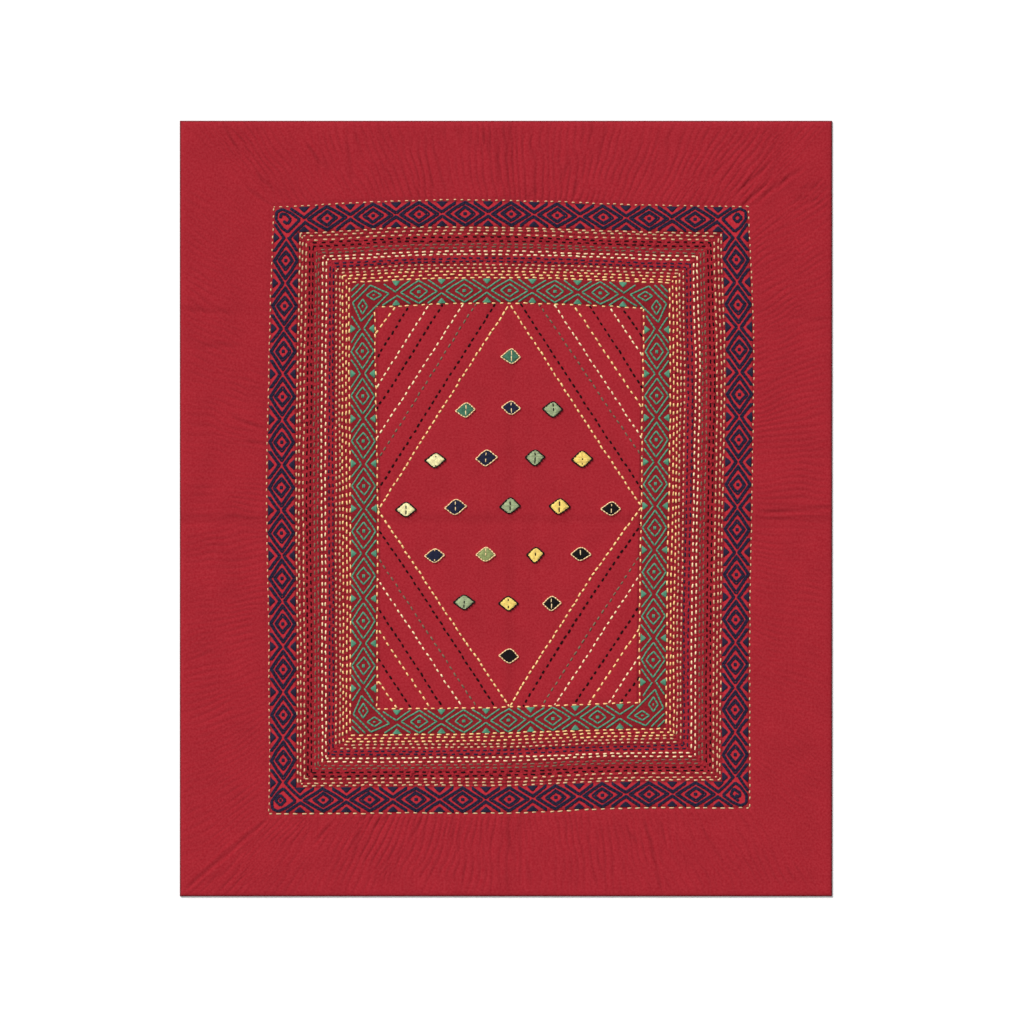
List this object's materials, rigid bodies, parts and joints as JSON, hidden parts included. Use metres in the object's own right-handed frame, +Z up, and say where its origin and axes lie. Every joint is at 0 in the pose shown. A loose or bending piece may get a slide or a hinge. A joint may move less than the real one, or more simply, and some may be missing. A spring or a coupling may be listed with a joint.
{
  "type": "baby kantha quilt",
  "caption": "Flat hand-stitched cotton baby quilt: red ground, lozenge borders, running-stitch rows and a diamond of embroidered eye motifs, laid out to cover or lie on.",
  "frame": {"origin": "middle of the quilt on the surface that it lies on", "axes": "+Z up from the surface through the stitched face, +Y along the quilt's length, +X across its width"},
  "size_m": [0.9, 1.07, 0.0037],
  "materials": {
    "red_cotton": "matt plain-weave cotton in a deep red, puckered by rows of hand running stitch",
    "navy_thread": "soft stranded cotton thread with a low sheen, deep navy, in the outer lozenge band, two rows and some eyes",
    "green_thread": "soft stranded cotton thread with a low sheen, sea green, in the inner lozenge band and some eyes",
    "sage_thread": "soft stranded cotton thread with a low sheen, pale sage, in running-stitch rows and some eyes",
    "grey_green_thread": "soft stranded cotton thread with a low sheen, grey green, in running-stitch rows",
    "cream_thread": "soft stranded cotton thread with a low sheen, cream, in running-stitch rows and some eyes",
    "gold_thread": "soft stranded cotton thread with a low sheen, pale gold, in running-stitch rows, the diamond and the eyes' outlines",
    "maroon_thread": "soft stranded cotton thread with a low sheen, dark maroon, in running-stitch rows",
    "black_thread": "soft stranded cotton thread with a low sheen, black, in some eyes and their outlines",
    "yellow_thread": "soft stranded cotton thread with a low sheen, soft yellow, in some eyes"
  },
  "bodies": {
    "root": {"quilt": "red_cotton"}
  },
  "joints": []
}
